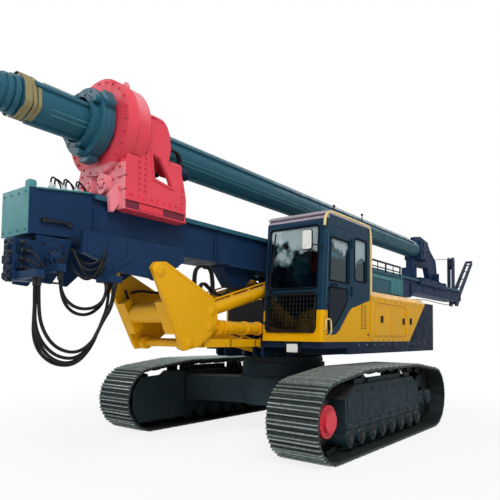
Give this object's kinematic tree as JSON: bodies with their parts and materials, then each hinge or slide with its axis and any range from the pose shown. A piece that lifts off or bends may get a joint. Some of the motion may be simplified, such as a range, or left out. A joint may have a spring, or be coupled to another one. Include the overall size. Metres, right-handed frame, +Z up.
{
  "type": "rotary piling rig",
  "caption": "Crawler rotary piling rig parked with its mast laid back: linkage and cylinders, rotary head with telescopic kelly bar, cab, house and two tracks.",
  "frame": {"origin": "on the ground, under the slewing axis, at the towing eye's mount height zero", "axes": "+Z up, -Y toward the front, +X to the cab's side"},
  "size_m": [3.9, 16.87, 4.3398],
  "materials": {
    "track_steel": "worn dark steel",
    "frame_grey": "semi-gloss",
    "drive_red": "semi-gloss",
    "navy_paint": "semi-gloss",
    "weight_navy": "semi-gloss",
    "teal_paint": "semi-gloss",
    "head_red": "semi-gloss",
    "machine_yellow": "semi-gloss",
    "cab_paint": "semi-gloss",
    "roof_grey": "semi-gloss",
    "cab_glass": "clear",
    "seat_cloth": "woven",
    "engine_iron": "cast",
    "rod_chrome": "polished",
    "cast_dark": "cast",
    "hose_rubber": "matte"
  },
  "bodies": {
    "undercarriage": {"carbody": "frame_grey", "track_left": "track_steel", "track_right": "track_steel", "track_frame_left": "frame_grey", "track_frame_right": "frame_grey", "track_wheels_left": "cast_dark", "track_wheels_right": "cast_dark", "final_drive_left": "drive_red", "final_drive_right": "drive_red"},
    "upper": {"slew_ring": "cast_dark", "deck": "weight_navy", "counterweight": "weight_navy", "house_left": "machine_yellow", "house_right": "machine_yellow", "hood_left": "teal_paint", "hood_right": "teal_paint", "engine": "engine_iron", "handrail_left": "weight_navy", "handrail_right": "weight_navy", "cab_frame": "cab_paint", "cab_roof": "roof_grey", "cab_glass": "cab_glass", "cab_seat": "seat_cloth"},
    "cab_door": {"cab_door": "cab_paint", "cab_door_glass": "cab_glass"},
    "service_door_left": {"service_door_left": "machine_yellow"},
    "service_door_right": {"service_door_right": "machine_yellow"},
    "lower_link": {"lower_link": "machine_yellow"},
    "upper_link": {"upper_link": "machine_yellow"},
    "triangle": {"triangle": "machine_yellow"},
    "luff_barrel": {"luff_barrel": "machine_yellow"},
    "luff_rod": {"luff_rod": "rod_chrome"},
    "mast_barrel_left": {"mast_barrel_left": "machine_yellow"},
    "mast_barrel_right": {"mast_barrel_right": "machine_yellow"},
    "mast_rod_left": {"mast_rod_left": "rod_chrome"},
    "mast_rod_right": {"mast_rod_right": "rod_chrome"},
    "mast": {"mast_front": "navy_paint", "mast_middle": "navy_paint", "mast_rear": "navy_paint", "mast_bracket": "navy_paint", "mast_lugs": "navy_paint", "crowd_frame": "navy_paint", "winch_frame": "navy_paint", "mast_head": "navy_paint", "hose_long": "hose_rubber", "hose_second": "hose_rubber", "hose_short": "hose_rubber"},
    "crowd_drum": {"crowd_drum": "cast_dark"},
    "winch_drum": {"winch_drum": "cast_dark"},
    "lower_sheave": {"lower_sheave": "cast_dark"},
    "upper_sheave": {"upper_sheave": "cast_dark"},
    "rotary_head": {"head_carriage": "head_red", "head_gearbox": "head_red"},
    "drive_sleeve": {"drive_sleeve": "teal_paint"},
    "kelly_guide": {"kelly_guide": "navy_paint"},
    "kelly_outer": {"kelly_outer": "teal_paint"},
    "kelly_middle": {"kelly_middle": "teal_paint"},
    "kelly_inner": {"kelly_inner": "teal_paint"}
  },
  "joints": [
    {"name": "swing", "type": "hinge", "parent": "undercarriage", "child": "upper", "pos_m": [0, 0, 1.13], "axis": [0, 0, 1], "continuous": true},
    {"name": "cab_door_hinge", "type": "hinge", "parent": "upper", "child": "cab_door", "pos_m": [1.474, -0.43, 2.2], "axis": [0, 0, 1], "range_deg": [0, 165]},
    {"name": "service_door_left_hinge", "type": "hinge", "parent": "upper", "child": "service_door_left", "pos_m": [1.474, 1.67, 1.75], "axis": [0, 0, 1], "range_deg": [0, 110]},
    {"name": "service_door_right_hinge", "type": "hinge", "parent": "upper", "child": "service_door_right", "pos_m": [-1.474, 1.67, 1.75], "axis": [0, 0, -1], "range_deg": [0, 110]},
    {"name": "luff", "type": "hinge", "parent": "upper", "child": "lower_link", "pos_m": [0, -1.06, 1.397], "axis": [-1, 0, 0], "range_deg": [0, 40]},
    {"name": "upper_link_hinge", "type": "hinge", "parent": "upper", "child": "upper_link", "pos_m": [0, -0.7, 1.6], "axis": [-1, 0, 0], "range_deg": [0, 40]},
    {"name": "triangle_hinge", "type": "hinge", "parent": "lower_link", "child": "triangle", "pos_m": [0, -2.69, 1.397], "axis": [-1, 0, 0], "range_deg": [-40, 0]},
    {"name": "luff_barrel_hinge", "type": "hinge", "parent": "upper", "child": "luff_barrel", "pos_m": [0, -0.7, 1.3], "axis": [-1, 0, 0], "range_deg": [0, 36.77]},
    {"name": "luff_rod_slide", "type": "slide", "parent": "luff_barrel", "child": "luff_rod", "axis": [0, -0.9835, 0.181], "range_m": [0, 0.17999]},
    {"name": "mast_raise", "type": "hinge", "parent": "triangle", "child": "mast", "pos_m": [0, -3.19, 2.23], "axis": [1, 0, 0], "range_deg": [0, 90]},
    {"name": "mast_barrel_left_hinge", "type": "hinge", "parent": "triangle", "child": "mast_barrel_left", "pos_m": [0.32, -2.29, 1.795], "axis": [1, 0, 0], "range_deg": [0, 91.32]},
    {"name": "mast_rod_left_slide", "type": "slide", "parent": "mast_barrel_left", "child": "mast_rod_left", "axis": [0, 0.9614, 0.275], "range_m": [0, 1.41242]},
    {"name": "mast_barrel_right_hinge", "type": "hinge", "parent": "triangle", "child": "mast_barrel_right", "pos_m": [-0.32, -2.29, 1.795], "axis": [1, 0, 0], "range_deg": [0, 91.32]},
    {"name": "mast_rod_right_slide", "type": "slide", "parent": "mast_barrel_right", "child": "mast_rod_right", "axis": [0, 0.9614, 0.275], "range_m": [0, 1.41242]},
    {"name": "crowd_drum_spin", "type": "hinge", "parent": "mast", "child": "crowd_drum", "pos_m": [0, -4.38, 2.21], "axis": [1, 0, 0], "continuous": true},
    {"name": "winch_drum_spin", "type": "hinge", "parent": "mast", "child": "winch_drum", "pos_m": [0, 1.15, 2.275], "axis": [1, 0, 0], "continuous": true},
    {"name": "lower_sheave_spin", "type": "hinge", "parent": "mast", "child": "lower_sheave", "pos_m": [0, 9.665, 2.7], "axis": [1, 0, 0], "continuous": true},
    {"name": "upper_sheave_spin", "type": "hinge", "parent": "mast", "child": "upper_sheave", "pos_m": [0, 9.33, 3.79], "axis": [1, 0, 0], "continuous": true},
    {"name": "crowd", "type": "slide", "parent": "mast", "child": "rotary_head", "axis": [0, 1, 0], "range_m": [0, 3.5]},
    {"name": "sleeve_spin", "type": "hinge", "parent": "rotary_head", "child": "drive_sleeve", "pos_m": [0, 0, 3.8], "axis": [0, -1, 0], "continuous": true},
    {"name": "kelly_lower", "type": "slide", "parent": "mast", "child": "kelly_guide", "axis": [0, -1, 0], "range_m": [0, 4.2]},
    {"name": "kelly_spin", "type": "hinge", "parent": "kelly_guide", "child": "kelly_outer", "pos_m": [0, 0, 3.8], "axis": [0, -1, 0], "continuous": true},
    {"name": "kelly_middle_slide", "type": "slide", "parent": "kelly_outer", "child": "kelly_middle", "axis": [0, -1, 0], "range_m": [0, 7.5]},
    {"name": "kelly_inner_slide", "type": "slide", "parent": "kelly_middle", "child": "kelly_inner", "axis": [0, -1, 0], "range_m": [0, 7.5]}
  ],
  "couplings": [
    {"joint": "upper_link_hinge", "follows": "luff", "ratio": 1},
    {"joint": "triangle_hinge", "follows": "luff", "ratio": -1},
    {"joint": "luff_barrel_hinge", "follows": "luff", "ratio": 0.91893},
    {"joint": "luff_rod_slide", "follows": "luff", "m_per_rad": 0.25767},
    {"joint": "kelly_spin", "follows": "sleeve_spin", "ratio": 1},
    {"joint": "mast_barrel_left_hinge", "follows": "mast_raise", "ratio": 1.0145},
    {"joint": "mast_rod_left_slide", "follows": "mast_raise", "m_per_rad": 0.89911},
    {"joint": "mast_barrel_right_hinge", "follows": "mast_raise", "ratio": 1.0145},
    {"joint": "mast_rod_right_slide", "follows": "mast_raise", "m_per_rad": 0.89911}
  ]
}
